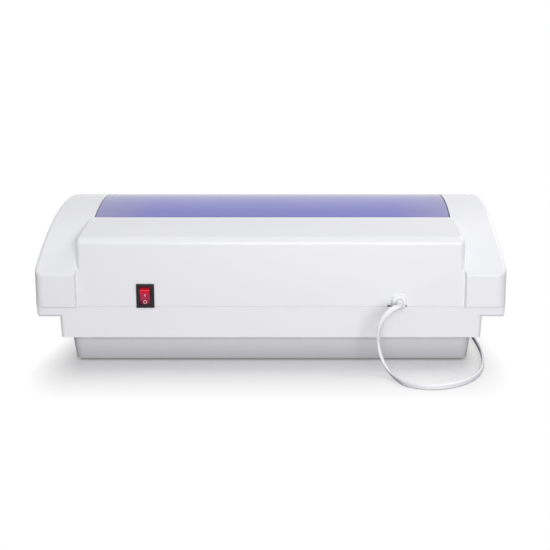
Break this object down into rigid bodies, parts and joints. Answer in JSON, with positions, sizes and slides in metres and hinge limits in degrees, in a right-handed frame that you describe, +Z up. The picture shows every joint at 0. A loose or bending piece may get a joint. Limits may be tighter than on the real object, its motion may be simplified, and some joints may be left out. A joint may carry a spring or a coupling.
{
  "type": "uv sterilizer",
  "caption": "Countertop UV sterilizer with an arched violet lid between white cheeks, a raised rear box with rocker switch, a germicidal tube, a wire rack and a mains cord.",
  "frame": {"origin": "on the table, under the middle of the housing, measured without the cord and plug", "axes": "+Z up, the front where the lid opens faces -Y, the raised box and the cord are at +Y, +X to the right seen from the front"},
  "size_m": [0.4052, 0.4119, 0.138],
  "materials": {
    "housing_white": "moulded ABS, light satin gloss",
    "lid_violet": "see-through violet acrylic, polished",
    "steel": "zinc-plated steel",
    "wire": "polished stainless wire",
    "foot_rubber": "soft grey rubber",
    "switch_black": "black moulded plastic",
    "rocker_red": "clear red plastic",
    "brass_tab": "brass contact tabs",
    "cord_white": "white flexible PVC",
    "plug_white": "white moulded PVC",
    "pin_nickel": "nickel-plated brass",
    "lamp_glass": "clear quartz glass tube",
    "aluminium": "bright aluminium sheet",
    "holder_white": "white plastic",
    "core_steel": "varnished steel laminations",
    "winding": "varnished copper wire under tape"
  },
  "bodies": {
    "housing": {"upper_shell": "housing_white", "base_shell": "housing_white", "feet": "foot_rubber", "shell_screws": "steel", "hinge_pins": "steel", "switch_housing": "switch_black", "switch_tabs": "brass_tab", "strain_relief": "cord_white", "mains_cord": "cord_white", "cord_coil": "cord_white", "plug_body": "plug_white", "plug_pins": "pin_nickel", "rear_plate": "aluminium", "lamp_glass": "lamp_glass", "lamp_caps": "aluminium", "lamp_pins": "brass_tab", "lamp_holder_left": "holder_white", "lamp_holder_right": "holder_white", "reflector": "aluminium", "ballast_core": "core_steel", "ballast_winding": "winding", "ballast_pan": "steel", "ballast_screws": "steel", "starter_socket": "holder_white", "starter": "holder_white", "terminal_block": "holder_white"},
    "lid": {"lid": "lid_violet"},
    "rocker": {"switch_rocker": "rocker_red"},
    "rack": {"tool_rack": "wire"}
  },
  "joints": [
    {"name": "lid_hinge", "type": "hinge", "parent": "housing", "child": "lid", "pos_m": [0, 0.0594, 0.12094], "axis": [-1, 0, 0], "range_deg": [0, 100]},
    {"name": "switch_tilt", "type": "hinge", "parent": "housing", "child": "rocker", "pos_m": [0.1075, 0.1125, 0.0595], "axis": [1, 0, 0], "range_deg": [0, 20]},
    {"name": "rack_lift", "type": "slide", "parent": "housing", "child": "rack", "axis": [0, 0, 1], "range_m": [0, 0.04]}
  ]
}
